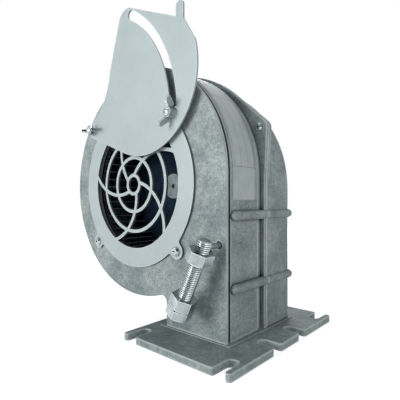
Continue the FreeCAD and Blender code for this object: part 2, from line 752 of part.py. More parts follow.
def rear_casing():
    body = new_body("rear_casing")
    shell = facing_front(body, REAR)
    scroll(shell, S.seam_proud, NECK_FOOT, S.rear_top)
    pad(body, shell, REAR - SEAM, "Shell", backward=False)
    soften(body, "Fillet", S.rear_round, lambda edge: on_face(edge, REAR), "RearRound")
    seam_flange(body, SEAM)
    side_ribs(body, SEAM, REAR - SEAM, REAR)
    hollow = facing_front(body, SEAM)
    scroll(hollow, -S.wall, ZERO, S.rear_top)
    pocket(body, hollow, REAR - SEAM - S.face_wall, "Hollow")
    neck_side = NECK_HALF + S.seam_proud
    seat = facing_up(body, S.flange_thick)
    edge = neck_side + S.seat_width
    seat.rectangle(-edge, FRONT - S.seat_width, edge, REAR + S.seat_width)
    pad(body, seat, S.seat_height, "Seat", backward=False)
    plate = facing_up(body, ZERO)
    plate.rounded(flange_outline())
    pad(body, plate, S.flange_thick, "BaseFlange", backward=False)
    outlet = facing_up(body, NECK_FOOT)
    inside = NECK_HALF - S.wall
    outlet.rectangle(-inside, FRONT + S.face_wall, inside, REAR - S.face_wall)
    pocket(body, outlet, NECK_FOOT, "Outlet")
    cup = facing_front(body, CUP_FACE)
    cup.circle(S.cup_radius + S.face_wall)
    pad(body, cup, REAR - CUP_FACE, "CupWall")
    recess = facing_front(body, CUP_FLOOR)
    recess.circle(S.cup_radius)
    pocket(body, recess, REAR - CUP_FLOOR, "Cup")
    holes = facing_front(body, CUP_FACE)
    holes.circle(S.spigot_radius + S.spigot_gap)
    for x, z in mount_places():
        holes.circle(S.small_screw, x, z)
    pocket(body, holes, S.face_wall, "MotorHoles")
    shaft_hole = facing_front(body, REAR - S.face_wall, FLAP_X, S.flap_height)
    shaft_hole.circle(S.flap_shaft_radius + S.flap_running)
    pocket(body, shaft_hole, S.shaft_entry + S.entry_gap, "ShaftHole")
    lug_holes(body, SEAM)
    finish(body)


# Inlet guard, studs and screws


def inlet_guard():
    """A flat plate with three rings and five curved spokes left in its opening."""
    body = new_body("inlet_guard")
    plate = facing_front(body, GUARD_FACE)
    plate.circle(S.guard_radius)
    pad(body, plate, S.guard_thick, "Plate")
    ears = facing_front(body, GUARD_FACE)
    holes = facing_front(body, GUARD_FACE)
    for across, up in CORNERS:
        place = (S.fixing_side * across, S.fixing_side * up)
        ears.circle(S.ear_radius, *place)
        holes.circle(S.stud_radius if up > 0 else S.small_screw, *place)
    pad(body, ears, S.guard_thick, "Ears")
    soften(body, "Fillet", S.ear_blend, in_ear_corner, "EarBlend")
    pocket(body, holes, S.guard_thick, "Holes")
    opening = facing_front(body, GUARD_FACE)
    opening.circle(S.guard_opening)
    pocket(body, opening, S.guard_thick, "Opening")
    spoke = facing_front(body, GUARD_FACE)
    half = S.guard_bar.value / 2
    start = polar(S.guard_hub.value, S.spoke_start.value)
    bend = polar(S.spoke_bend_radius.value, S.spoke_bend.value)
    end = polar(S.guard_opening.value + half, S.spoke_end.value)
    spoke.curves(*arc_band(start, bend, end, half))
    bar = pad(body, spoke, S.guard_thick, "Spoke")
    ring_of(body, [bar], spoke, S.spoke_count, "Spokes")
    rings = facing_front(body, GUARD_FACE)
    for radius in (S.guard_hub, S.guard_mid, S.guard_outer):
        rings.circle(radius + S.guard_bar / 2)
        rings.circle(radius - S.guard_bar / 2)
    pad(body, rings, S.guard_thick, "Rings")
    finish(body)


def in_ear_corner(edge):
    """The straight edges where an ear meets the round of the guard."""
    box = edge.BoundBox
    across = box.XMin - FAN_X.value
    up = box.ZMin - FAN_Z.value
    on_round = abs(math.hypot(across, up) - S.guard_radius.value) < NEAR
    return box.XLength < NEAR and box.ZLength < NEAR and on_round and min(abs(across), abs(up)) > 1


def screws(label, places, seat, shank, length, head, height, facing=-1):
    """Pan-headed screws along Y. facing is -1 for heads to the front and 1 for heads to the rear."""
    body = new_body(label)
    top = seat + height * facing
    end = seat - length * facing
    for x, z in places:
        screw = along_axis(body, FAN_X + x, FAN_Z + z)
        corners = [(seat + height * (up * facing), head * out) for up, out in PAN_SHAPE]
        screw.polygon(*corners, (seat, shank), (end, shank), (end, 0))
        revolve(body, screw, "Screw")
    recess = facing_front(body, top)
    arm = head * RECESS_ARM
    half = head * RECESS_HALF
    for x, z in places:
        quarter = [(half, half), (half, arm), (-half, arm), (-half, half)]
        corners = quarter + [(-arm, half), (-arm, -half)]
        corners += [(-across, -up) for across, up in quarter] + [(arm, -half), (arm, half)]
        recess.polygon(*[(x + across, z + up) for across, up in corners])
    pocket(body, recess, S.recess_depth, "Recesses", backward=facing > 0)


def guard_screws():
    places = [(S.fixing_side * across, S.fixing_side * up) for across, up in CORNERS if up < 0]
    length = S.guard_thick + S.face_wall + S.boss_depth / 2
    head = S.pan_head_radius
    screws("guard_screws", places, GUARD_FACE, S.small_screw, length, head, S.pan_head_height)


def casing_screws():
    seat = SEAM - S.seam_thick
    head = S.lug_head_radius
    length = S.lug_screw_length
    screws("casing_screws", lug_places(), seat, S.lug_screw, length, head, S.lug_head_height)


def stud(label, across):
    """A threaded stud that stands out of an upper boss and carries the shutter."""
    body = new_body(label)
    back = FRONT + S.face_wall + S.boss_depth / 2
    rod = along_axis(body, FAN_X + S.fixing_side * across, FAN_Z + S.fixing_side)
    bevel = S.stud_bevel
    rod.polygon(
        (STUD_END, 0),
        (STUD_END, S.stud_radius - bevel),
        (STUD_END + bevel, S.stud_radius),
        (back, S.stud_radius),
        (back, 0),
    )
    revolve(body, rod, "Stud")


def spacer_nuts():
    """Flat nuts that hold the shutter off the guard."""
    body = new_body("spacer_nuts")
    nuts = facing_front(body, GUARD_FACE - S.spacer_thick)
    for across in (-1, 1):
        place = (S.fixing_side * across, S.fixing_side)
        nuts.hexagon(S.spacer_flats, *place)
        nuts.circle(S.stud_radius, *place)
    pad(body, nuts, S.spacer_thick, "Nuts")


# Air shutter and its wing nuts


def shutter_outline():
    """The shutter's edge from its pivot: a round edge, a finger tab, a shoulder and a hollow."""
    eye = S.shutter_eye.value
    radius = S.shutter_radius.value
    centre = Vector(S.shutter_centre_x.value, S.shutter_centre_z.value, 0)
    bearing = math.degrees(math.atan2(centre.y, centre.x))
    lean = bearing - math.degrees(math.acos((eye - radius) / centre.Length))
    round_end = S.shutter_round_end.value
    eye_end = S.shutter_eye_end.value
    right = S.tab_right.value
    left = right - S.tab_width.value
    cap = S.tab_top.value - S.tab_width.value / 2
    heel = Vector(left, S.tab_heel.value, 0)
    shoulder = Vector(S.shoulder_x.value, S.shoulder_z.value, 0)
    waist = Vector(S.waist_x.value, S.waist_z.value, 0)
    bend = Vector(S.bend_x.value, S.bend_z.value, 0)
    leave = polar(eye, lean)
    join = centre + polar(radius, lean)
    low = centre + polar(radius, (lean + round_end) / 2)
    last = centre + polar(radius, round_end)
    foot = Vector(right, S.tab_foot.value, 0)
    tab_right = Vector(right, cap, 0)
    tab_top = Vector((left + right) / 2, S.tab_top.value, 0)
    tab_left = Vector(left, cap, 0)
    first, middle, second = corner_arc(heel, shoulder, waist, S.shoulder_round.value)
    arrive = polar(eye, eye_end)
    behind = polar(eye, (eye_end + lean + TURN) / 2)
    return [
        Part.LineSegment(leave, join),
        Part.Arc(join, low, last),
        Part.LineSegment(last, foot),
        Part.LineSegment(foot, tab_right),
        Part.Arc(tab_right, tab_top, tab_left),
        Part.LineSegment(tab_left, heel),
        Part.LineSegment(heel, first),
        Part.Arc(first, middle, second),
        Part.LineSegment(second, waist),
        Part.Arc(waist, bend, arrive),
        Part.Arc(arrive, behind, leave),
    ]


def arc_slot(radius, start, end, half):
    """A slot along an arc about the sketch's origin, with round ends."""
    middle = (start + end) / 2
    quarter = TURN / 4
    near_cap = polar(radius, start) + polar(half, start - quarter)
    far_cap = polar(radius, end) + polar(half, end + quarter)
    outer = [polar(radius + half, angle) for angle in (start, middle, end)]
    inner = [polar(radius - half, angle) for angle in (end, middle, start)]
    return [
        Part.Arc(*outer),
        Part.Arc(outer[-1], far_cap, inner[0]),
        Part.Arc(*inner),
        Part.Arc(inner[-1], near_cap, outer[0]),
    ]


def shutter_plate():
    """A plate that swings on the left stud. The right stud runs in its arc slot."""
    body = new_body("shutter_plate")
    plate = facing_front(body, SHUTTER_FACE, FAN_X - S.fixing_side, FAN_Z + S.fixing_side)
    plate.curves(*shutter_outline())
    apart = S.fixing_side.value * 2
    middle = apart + S.slot_set.value
    plate.curves(*arc_slot(middle, 0, S.shutter_swing.value, S.shutter_slot.value / 2))
    plate.circle(S.stud_radius + S.thread_gap)
    pad(body, plate, S.shutter_thick, "Plate")


def place_body(body, x, y, z, turn):
    """Puts a body at a point, turned clockwise as seen from the front."""
    for axis, place in zip("xyz", (x, y, z)):
        body.setExpression("Placement.Base." + axis, place.text)
    body.Placement.Rotation = FreeCAD.Rotation(Vector(0, 1, 0), turn.value)
    body.setExpression("Placement.Rotation.Angle", turn.text)


def wing_nut(label, across, turn):
    """A round hub with two upswept wings. It is drawn about the origin and put on its stud."""
    body = new_body(label)
    hub = along_axis(body, ZERO, ZERO)
    bore = S.stud_radius + S.thread_gap
    top = -S.wing_hub_height
    hub.polygon((ZERO, bore), (ZERO, S.wing_hub), (top, S.wing_hub_top), (top, bore))
    revolve(body, hub, "Hub")
    wings = facing_up(body, -S.wing_thick / 2)
    reach = S.wing_span / 2
    for side in (-1, 1):
        corners = [
            (reach * (out * side), S.wing_height * -up, reach * corner)
            for out, up, corner in WING_SHAPE
        ]
        wings.rounded(corners)
    pad(body, wings, S.wing_thick, "Wings", backward=False)
    stud_x = FAN_X + S.fixing_side * across
    place_body(body, stud_x, NUT_BASE, FAN_Z + S.fixing_side, -turn)


# Flap and counterweight


def flap_plate():
    """A sheet with one edge rolled round the flap shaft."""
    body = new_body("flap_plate")
    eye = facing_front(body, FLAP_START, FLAP_X, S.flap_height)
    eye.circle(S.flap_shaft_radius + S.flap_eye_wall)
    eye.circle(S.flap_shaft_radius)
    pad(body, eye, FLAP_DEPTH, "Eye")
    sheet_metal = facing_front(body, FLAP_START, FLAP_X, S.flap_height)
    outside = S.flap_shaft_radius + S.flap_eye_wall
    sheet_metal.rectangle(outside - S.flap_thick, -S.flap_length, outside, 0)
    pad(body, sheet_metal, FLAP_DEPTH, "Plate")


def flap_shaft():
    body = new_body("flap_shaft")
    rod = facing_front(body, WEIGHT_Y - S.weight_radius - S.flap_thick, FLAP_X, S.flap_height)
    rod.circle(S.flap_shaft_radius)
    front = S.weight_reach + S.weight_radius + S.flap_thick
    pad(body, rod, front + S.casing_depth - S.face_wall + S.shaft_entry, "Rod")


def hexagon_block(body, low, height, name, bore=None, turned=ZERO):
    """A bolt head or nut, upright about the body's origin, with its corners turned off."""
    outline = facing_up(body, low)
    outline.hexagon(S.weight_flats, turn=HEXAGON_TURN - turned)
    if bore:
        outline.circle(bore)
    pad(body, outline, height, name, backward=False)
    inner = S.weight_flats / 2
    outer = S.weight_flats * math.sqrt(0.5)
    rise = (outer - inner) * math.tan(math.radians(30))
    for level, inward in ((low, rise), (low + height, -rise)):
        ring = facing_front(body, ZERO, ZERO, ZERO)
        ring.polygon((inner, level), (outer, level - inward), (outer, level + inward))
        revolve(body, ring, "Corners", "PartDesign::Groove", "V_Axis")


def hung_on_flap(body):
    """Sets a piece of the counterweight across the flap shaft at the weight's lean."""
    place_body(body, FLAP_X, WEIGHT_Y, S.flap_height, S.weight_lean)


def counterweight_bolt():
    body = new_body("counterweight_bolt")
    rod = facing_up(body, -S.weight_below)
    rod.circle(S.weight_radius)
    pad(body, rod, S.weight_below + S.weight_above, "Rod", backward=False)
    soften(body, "Chamfer", S.weight_tip, lambda edge: at_level(edge, S.weight_above), "Tip")
    hole = facing_front(body, -S.weight_radius, ZERO, ZERO)
    hole.circle(S.flap_shaft_radius)
    pocket(body, hole, S.weight_radius * 2, "CrossHole")
    low = -(S.weight_below + S.weight_head)
    hexagon_block(body, low, S.weight_head, "Head", turned=S.weight_turn)
    hung_on_flap(body)


def at_level(edge, z):
    box = edge.BoundBox
    return abs(box.ZMin - z.value) < NEAR and abs(box.ZMax - z.value) < NEAR


def weight_nuts():
    """One nut clamps the shaft in the cross hole. The other sits near the bolt's head."""
    upper = -(S.flap_shaft_radius + S.nut_seat + S.weight_nut_height)
    lower = -(S.weight_below - S.nut_seat)
    for label, low, turned in (("clamp_nut", upper, ZERO), ("weight_nut", lower, S.weight_turn)):
        body = new_body(label)
        hexagon_block(body, low, S.weight_nut_height, "Nut", S.weight_radius, turned)
        hung_on_flap(body)


# Impeller


def impeller_front_ring():
    body = new_body("impeller_front_ring")
    ring = facing_front(body, IMPELLER_FRONT)
    ring.circle(S.impeller_radius)
    ring.circle(S.impeller_eye)
    pad(body, ring, S.impeller_sheet, "Ring")


def impeller_blades():
    """Forward-curved blades between the front ring and the back plate."""
    body = new_body("impeller_blades")
    blade = facing_front(body, IMPELLER_FRONT + S.impeller_sheet)
    inner = (S.impeller_eye + S.blade_thick / 2).value
    outer = (S.impeller_radius - S.blade_thick / 2).value
    first = polar(inner, 0)
    bend = polar((inner + outer) / 2, -S.blade_mid_lead.value)
    last = polar(outer, -S.blade_lead.value)
    blade.curves(*arc_band(first, bend, last, S.blade_thick.value / 2))
    one = pad(body, blade, S.impeller_width - S.impeller_sheet, "Blade")
    ring_of(body, [one], blade, S.blade_count, "Blades")


def impeller_back_plate():
    body = new_body("impeller_back_plate")
    plate = facing_front(body, PLATE_FRONT)
    plate.circle(S.impeller_radius)
    plate.circle(S.hub_radius)
    pad(body, plate, S.impeller_sheet, "Plate")


def impeller_hub():
    body = new_body("impeller_hub")
    front = PLATE_FRONT - S.hub_face
    hub = along_axis(body)
    hub.polygon(
        (front, S.hub_eye),
        (front, S.hub_flange),
        (PLATE_FRONT, S.hub_flange),
        (PLATE_FRONT, S.hub_radius),
        (HUB_BACK, S.hub_radius),
        (HUB_BACK, S.shaft_radius),
        (PLATE_FRONT, S.shaft_radius),
        (PLATE_FRONT, S.hub_eye),
    )
    revolve(body, hub, "Hub")
    grub_y = (PLATE_BACK + HUB_BACK) / 2
    hole = facing_up(body, FAN_Z, FAN_X, grub_y)
    hole.circle(S.grub_radius)
    pocket(body, hole, S.hub_radius, "GrubHole", backward=True)
    screw_body = new_body("hub_grub_screw")
    screw = facing_up(screw_body, FAN_Z + S.shaft_radius, FAN_X, grub_y)
    screw.circle(S.grub_radius)
    length = S.hub_radius - S.shaft_radius - S.grub_radius / 2
    pad(screw_body, screw, length, "Screw", backward=False)


# Motor


def motor_shaft():
    body = new_body("motor_shaft")
    start = HOUSING_START + S.shoulder_gap
    end = HOUSING_END - S.shoulder_gap
    last = REAR_BEARING + S.bearing_width
    shaft = along_axis(body)
    shaft.polygon(
        (PLATE_FRONT, 0),
        (PLATE_FRONT, S.shaft_radius),
        (start, S.shaft_radius),
        (start, S.shaft_step),
        (end, S.shaft_step),
        (end, S.shaft_radius),
        (last, S.shaft_radius),
        (last, 0),
    )
    revolve(body, shaft, "Shaft")


def rotor_core():
    body = new_body("rotor_core")
    core = facing_front(body, CORE_START)
    core.circle(S.rotor_radius)
    core.circle(S.shaft_step)
    pad(body, core, CORE_LENGTH, "Core")


def core_slot(drawing):
    half = S.core_slot_width / 2
    drawing.rectangle(-half, S.core_slot_inner, half, S.core_slot_outer)


def stator():
    """The stack with its slots, and the coils that fill them and stand out at both ends."""
    core_body = new_body("stator_core")
    core = facing_front(core_body, CORE_START)
    core.circle(S.motor_radius - S.motor_wall)
    core.circle(S.rotor_radius + S.air_gap)
    pad(core_body, core, CORE_LENGTH, "Core")
    slot = facing_front(core_body, CORE_START)
    core_slot(slot)
    one = pocket(core_body, slot, CORE_LENGTH, "Slot")
    ring_of(core_body, [one], slot, S.core_slots, "Slots")
    coils = new_body("stator_windings")
    bar = facing_front(coils, CORE_START)
    core_slot(bar)
    one = pad(coils, bar, CORE_LENGTH, "Bar")
    ring_of(coils, [one], bar, S.core_slots, "Bars")
    for start in (CORE_START - S.winding_length, CORE_END):
        ring = facing_front(coils, start)
        ring.circle(S.core_slot_outer + S.winding_cover)
        ring.circle(S.core_slot_inner - S.winding_inset)
        pad(coils, ring, S.winding_length, "EndRing")


def tie_places():
    side = (S.motor_radius + S.tie_out) * DIAGONAL
    return [(side * across, side * up) for across, up in CORNERS]


def motor_housing():
    body = new_body("motor_housing")
    tube = facing_front(body, HOUSING_START)
    tube.circle(S.motor_radius)
    pad(body, tube, S.housing_length, "Tube")
    boss = facing_up(body, GLAND_SEAT, FAN_X, GLAND_Y)
    boss.circle(S.gland_boss_radius)
    pad(body, boss, S.gland_boss_radius, "GlandBoss", backward=False)
    fin = facing_front(body, HOUSING_START)
    half = S.fin_thick / 2
    fin.rectangle(-half, S.motor_radius - S.motor_wall / 2, half, S.motor_radius + S.fin_height)
    one = pad(body, fin, S.housing_length, "Fin")
    ring_of(body, [one], fin, S.fin_count, "Fins")
    inside = facing_front(body, HOUSING_START)
    inside.circle(S.motor_radius - S.motor_wall)
    pocket(body, inside, S.housing_length, "Inside")
    hole = facing_up(body, GLAND_SEAT, FAN_X, GLAND_Y)
    hole.circle(S.gland_thread)
    pocket(body, hole, S.gland_boss_radius, "GlandHole", backward=True)
    finish(body)


def shield_ears(body, start):
    """Ears for the tie screws, with their holes."""
    ears = facing_front(body, start)
    for x, z in tie_places():
        lug_outline(ears, x, z, S.tie_ear.value, S.motor_radius.value)
    pad(body, ears, S.shield_thick, "Ears")
    holes = facing_front(body, start)
    for x, z in tie_places():
        holes.circle(S.tie_screw, x, z)
    pocket(body, holes, S.shield_thick, "TieHoles")


def motor_front_shield():
    """The spigot sits in the rear casing. The bearing's seat opens towards the rotor."""
    body = new_body("motor_front_shield")
    disc = along_axis(body)
    bore = S.shaft_radius + S.shaft_gap
    disc.polygon(
        (CUP_FACE, bore),
        (CUP_FACE, S.spigot_radius),
        (CUP_FLOOR, S.spigot_radius),
        (CUP_FLOOR, S.motor_radius),
        (HOUSING_START, S.motor_radius),
        (HOUSING_START, S.bearing_outer),
        (FRONT_BEARING, S.bearing_outer),
        (FRONT_BEARING, bore),
    )
    revolve(body, disc, "Disc")
    shield_ears(body, CUP_FLOOR)
    holes = facing_front(body, CUP_FLOOR)
    for x, z in mount_places():
        holes.circle(S.small_screw, x, z)
    pocket(body, holes, S.shield_thick, "MountHoles")
    finish(body)


def motor_rear_shield():
    body = new_body("motor_rear_shield")
    disc = along_axis(body)
    seat_end = REAR_BEARING + S.bearing_width
    disc.polygon(
        (HOUSING_END, S.bearing_outer),
        (HOUSING_END, S.motor_radius),
        (MOTOR_END - S.shield_bevel, S.motor_radius),
        (MOTOR_END, S.motor_radius - S.shield_bevel),
        (MOTOR_END, 0),
        (seat_end, 0),
        (seat_end, S.bearing_outer),
    )
    revolve(body, disc, "Disc")
    shield_ears(body, HOUSING_END)
    finish(body)


def bearing(label, start):
    """A shielded ball bearing: the shields stand back from the faces of the rings."""
    body = new_body(label)
    bore = S.shaft_radius + S.bearing_running
    end = start + S.bearing_width
    first = start + S.bearing_recess
    last = end - S.bearing_recess
    low = bore + S.bearing_land
    high = S.bearing_outer - S.bearing_land
    ring = along_axis(body)
    ring.polygon(
        (start, bore),
        (start, low),
        (first, low),
        (first, high),
        (start, high),
        (start, S.bearing_outer),
        (end, S.bearing_outer),
        (end, high),
        (last, high),
        (last, low),
        (end, low),
        (end, bore),
    )
    revolve(body, ring, "Rings")


def motor_screws():
    """Short screws hold the motor in the recess. Long ones hold its shields together."""
    head = S.pan_head_radius
    height = S.pan_head_height
    length = S.face_wall + S.mount_bite
    screws("motor_mount_screws", mount_places(), CUP_FACE, S.small_screw, length, head, height)
    reach = MOTOR_END - CUP_FLOOR - S.face_wall
    screws("motor_tie_screws", tie_places(), MOTOR_END, S.tie_screw, reach, head, height, facing=1)


def cable_gland():
    """A hexagon with a thread above it in the motor and one below it for the nut."""
    body = new_body("cable_gland")
    stem = facing_up(body, GLAND_SEAT, FAN_X, GLAND_Y)
    stem.circle(S.gland_thread)
    pad(body, stem, S.gland_out + S.motor_wall, "Stem", backward=False)
    flats = facing_up(body, GLAND_SEAT - S.gland_hex, FAN_X, GLAND_Y)
    flats.hexagon(S.gland_flats)
    pad(body, flats, S.gland_hex, "Hexagon", backward=False)
    tail_end = GLAND_SEAT - S.gland_hex - S.gland_tail
    tail = facing_up(body, tail_end, FAN_X, GLAND_Y)
    tail.circle(S.gland_thread)
    pad(body, tail, S.gland_tail, "Tail", backward=False)
    bore = facing_up(body, tail_end, FAN_X, GLAND_Y)
    bore.circle(S.gland_bore)
    length = S.gland_tail + S.gland_hex + S.gland_out + S.motor_wall
    pocket(body, bore, length, "Bore", backward=True)


def gland_nut():
    body = new_body("gland_nut")
    top = GLAND_SEAT - S.gland_hex - S.shoulder_gap
    low = top - S.gland_nut_length
    nut = facing_up(body, low, FAN_X, GLAND_Y)
    nut.hexagon(S.gland_flats)
    nut.circle(S.gland_bore)
    pad(body, nut, S.gland_nut_length, "Nut", backward=False)
    thread = facing_up(body, top, FAN_X, GLAND_Y)
    thread.circle(S.gland_thread)
    pocket(body, thread, S.gland_tail - S.shoulder_gap, "Thread")


def write_all():
    doc.recompute()
    os.makedirs("parts", exist_ok=True)
    for item in doc.Objects:
        if "Invalid" in item.State or "Error" in item.State:
            raise RuntimeError("%s failed: %s" % (item.Name, item.State))
    for body in bodies:
        shape = body.Shape
        if shape.isNull() or not shape.isValid() or not shape.Solids:
            raise RuntimeError("%s has no valid solid" % body.Label)
        shape.exportStep("parts/%s.step" % body.Label)
        print("%-22s solids %d volume %.0f" % (body.Label, len(shape.Solids), shape.Volume))


front_casing()
rear_casing()
inlet_guard()
guard_screws()
casing_screws()
stud("pivot_stud", -1)
stud("clamp_stud", 1)
spacer_nuts()
shutter_plate()
wing_nut("pivot_wing_nut", -1, S.pivot_wing_turn)
wing_nut("clamp_wing_nut", 1, S.clamp_wing_turn)
flap_plate()
flap_shaft()
counterweight_bolt()
weight_nuts()
impeller_front_ring()
impeller_blades()
impeller_back_plate()
impeller_hub()
motor_shaft()
rotor_core()
stator()
motor_housing()
motor_front_shield()
motor_rear_shield()
bearing("front_bearing", FRONT_BEARING)
bearing("rear_bearing", REAR_BEARING)
motor_screws()
cable_gland()
gland_nut()
write_all()
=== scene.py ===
import json
import math

import bpy
import numpy as np
from mathutils import Euler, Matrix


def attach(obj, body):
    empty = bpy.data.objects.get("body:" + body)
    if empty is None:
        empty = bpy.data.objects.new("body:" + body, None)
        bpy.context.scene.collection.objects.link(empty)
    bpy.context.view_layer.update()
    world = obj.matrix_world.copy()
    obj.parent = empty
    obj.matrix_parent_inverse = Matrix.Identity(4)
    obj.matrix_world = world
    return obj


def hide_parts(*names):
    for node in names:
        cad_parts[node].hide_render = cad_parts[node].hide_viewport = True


# The look of a boiler fan: cast casing, plated guard and shutter, threaded bolt and studs.
# Metres. X to the right, Y from the inlet to the motor, Z up from the flange's underside.

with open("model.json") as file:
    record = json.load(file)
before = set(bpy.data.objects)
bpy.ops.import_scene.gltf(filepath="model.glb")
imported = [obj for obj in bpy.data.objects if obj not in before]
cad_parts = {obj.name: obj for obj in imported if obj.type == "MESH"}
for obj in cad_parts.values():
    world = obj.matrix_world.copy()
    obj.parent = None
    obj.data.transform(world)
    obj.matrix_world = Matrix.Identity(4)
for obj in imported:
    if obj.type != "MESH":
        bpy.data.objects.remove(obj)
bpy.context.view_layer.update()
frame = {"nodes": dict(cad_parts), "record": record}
nodes = frame["nodes"]
joint_places = {
    joint["name"]: joint["pos_m"] for joint in frame["record"]["behaviour"]["joints"]
}

MM = 0.001
WHITE = (1, 1, 1, 1)


# Camera, floor and light

EYE = (0.18739, -0.24772, 0.10836)
EYE_TURN = math.radians(41.6)
LENS_MM = 32.83
SENSOR_MM = 36
FLOOR_HALF = 6
# The floor's added glow and the distance from the object where it starts and ends.
NEAR_GLOW, FAR_GLOW = 0.68, 1
GLOW_START, GLOW_END = 0.28, 0.8
SOFT_LIGHT = 0.27
# The room that polished metal sees: the bearing of its darker front from the X axis, that
# front's brightness, and how squarely a ray points there where the dark starts and is full.
FRONT_BEARING = math.radians(-68)
FRONT_BRIGHTNESS = 0.05
DARK_STARTS, DARK_FULL = 0.35, 0.8


def make_camera():
    """The photograph's eye point: level, to the right of the inlet, with a moderate lens."""
    data = bpy.data.cameras.new("camera")
    data.sensor_width = SENSOR_MM
    data.lens = LENS_MM
    data.clip_start = 0.01
    data.clip_end = 20
    camera = bpy.data.objects.new("camera", data)
    camera.location = EYE
    camera.rotation_euler = Euler((math.radians(90), 0, EYE_TURN))
    bpy.context.scene.collection.objects.link(camera)
    bpy.context.scene.camera = camera


def add_node(tree, kind, inputs=(), **settings):
    """A node with its settings, and its inputs either set to values or linked to sockets."""
    node = tree.nodes.new("ShaderNode" + kind)
    for name, value in settings.items():
        setattr(node, name, value)
    for name, value in dict(inputs).items():
        socket = node.inputs[name]
        if isinstance(value, bpy.types.NodeSocket):
            tree.links.new(value, socket)
        else:
            socket.default_value = value
    return node


def new_material(name):
    """A named material and its empty node tree."""
    material = bpy.data.materials.new(name)
    material.use_nodes = True
    material.node_tree.nodes.clear()
    return material, material.node_tree


def make_floor():
    """A white floor that shows the object's shadow. Only the camera and polished metal see its
    added glow, which grows with the distance until the floor is as white as the background."""
    half = FLOOR_HALF
    verts = [(-half, -half, 0), (half, -half, 0), (half, half, 0), (-half, half, 0)]
    mesh = bpy.data.meshes.new("floor")
    mesh.from_pydata(verts, [], [(0, 1, 2, 3)])
    floor = bpy.data.objects.new("floor", mesh)
    bpy.context.scene.collection.objects.link(floor)
    material, tree = new_material("floor_white")
    seen = add_node(tree, "LightPath")
    place = add_node(tree, "TexCoord").outputs["Object"]
    away = add_node(tree, "VectorMath", {0: place}, operation="LENGTH").outputs["Value"]
    strength = add_node(
        tree,
        "MapRange",
        {
            "Value": away,
            "From Min": GLOW_START,
            "From Max": GLOW_END,
            "To Min": NEAR_GLOW,
            "To Max": FAR_GLOW,
        },
    ).outputs["Result"]
    plain = add_node(tree, "BsdfDiffuse", {"Color": (0.8, 0.8, 0.8, 1)})
    glow = add_node(tree, "Emission", {"Color": WHITE, "Strength": strength})
    bright = add_node(tree, "AddShader", {0: plain.outputs[0], 1: glow.outputs[0]})
    any_view = add_node(
        tree,
        "Math",
        {0: seen.outputs["Is Camera Ray"], 1: seen.outputs["Is Glossy Ray"]},
        operation="MAXIMUM",
    ).outputs[0]
    any_view = add_node(
        tree, "Math", {0: any_view, 1: seen.outputs["Is Transmission Ray"]}, operation="MAXIMUM"
    ).outputs[0]
    mixed = add_node(
        tree, "MixShader", {0: any_view, 1: plain.outputs[0], 2: bright.outputs[0]}
    )
    add_node(tree, "OutputMaterial", {"Surface": mixed.outputs[0]})
    floor.data.materials.append(material)


def make_world():
    """White where the camera looks past the object, and a soft grey light elsewhere. Polished
    metal sees a white room that is darker in front, where the camera stands."""
    world = bpy.data.worlds.new("studio")
    bpy.context.scene.world = world
    world.use_nodes = True
    tree = world.node_tree
    tree.nodes.clear()
    seen = add_node(tree, "LightPath")
    towards = add_node(tree, "TexCoord").outputs["Generated"]
    front = (math.cos(FRONT_BEARING), math.sin(FRONT_BEARING), 0)
    share = add_node(tree, "VectorMath", {0: towards, 1: front}, operation="DOT_PRODUCT")
    room = add_node(
        tree,
        "MapRange",
        {
            "Value": share.outputs["Value"],
            "From Min": DARK_STARTS,
            "From Max": DARK_FULL,
            "To Min": 1,
            "To Max": FRONT_BRIGHTNESS,
        },
    ).outputs["Result"]
    soft = add_node(tree, "Background", {"Color": (0.93, 0.98, 1, 1), "Strength": SOFT_LIGHT})
    metal_sees = add_node(tree, "Background", {"Color": (0.95, 0.99, 1, 1), "Strength": room})
    white = add_node(tree, "Background", {"Color": WHITE, "Strength": 1})
    lit = add_node(
        tree,
        "MixShader",
        {0: seen.outputs["Is Glossy Ray"], 1: soft.outputs[0], 2: metal_sees.outputs[0]},
    )
    mixed = add_node(
        tree,
        "MixShader",
        {0: seen.outputs["Is Camera Ray"], 1: lit.outputs[0], 2: white.outputs[0]},
    )
    add_node(tree, "OutputWorld", {"Surface": mixed.outputs[0]})


# Each lamp's place and aim in metres, side in metres and power in watts.
LAMPS = {
    "key_front": ((-0.32, -1.0, 0.32), (-0.03, 0, 0.1), 0.5, 8),
    "fill_right": ((0.95, -0.2, 0.4), (0, 0, 0.12), 0.6, 3),
    "top": ((-0.1, 0.1, 1.1), (-0.05, 0, 0.1), 0.8, 0.5),
    "back_left": ((-0.75, 0.9, 0.55), (-0.05, 0, 0.1), 0.7, 5),
}


def make_lamps():
    """Square lamps, each turned so that it faces its aim."""
    for name, (place, aim, side, power) in LAMPS.items():
        data = bpy.data.lights.new(name, "AREA")
        data.size = side
        data.energy = power
        lamp = bpy.data.objects.new(name, data)
        lamp.location = place
        towards = np.array(aim) - np.array(place)
        flat = math.hypot(towards[0], towards[1])
        tilt = math.atan2(flat, -towards[2])
        turn = math.atan2(towards[1], towards[0]) - math.pi / 2
        lamp.rotation_euler = Euler((tilt, 0, turn))
        bpy.context.scene.collection.objects.link(lamp)


# Finishes

HOLLOW_SAMPLES = 8


def srgb(red, green, blue):
    """A colour as it shows on a screen, 0 to 255, turned into light by the sRGB curve."""
    shares = np.array([red, green, blue]) / 255
    light = np.where(shares <= 0.04045, shares / 12.92, ((shares + 0.055) / 1.055) ** 2.4)
    return (*[float(v) for v in light], 1)


def noise(tree, scale, detail=2, roughness=0.5, stretch=(1, 1, 1)):
    """Noise on the piece's own coordinates. scale is in spots to the metre."""
    place = add_node(tree, "TexCoord")
    mapped = add_node(tree, "Mapping", {"Vector": place.outputs["Object"], "Scale": stretch})
    return add_node(
        tree,
        "TexNoise",
        {"Vector": mapped.outputs[0], "Scale": scale, "Detail": detail, "Roughness": roughness},
    ).outputs["Fac"]


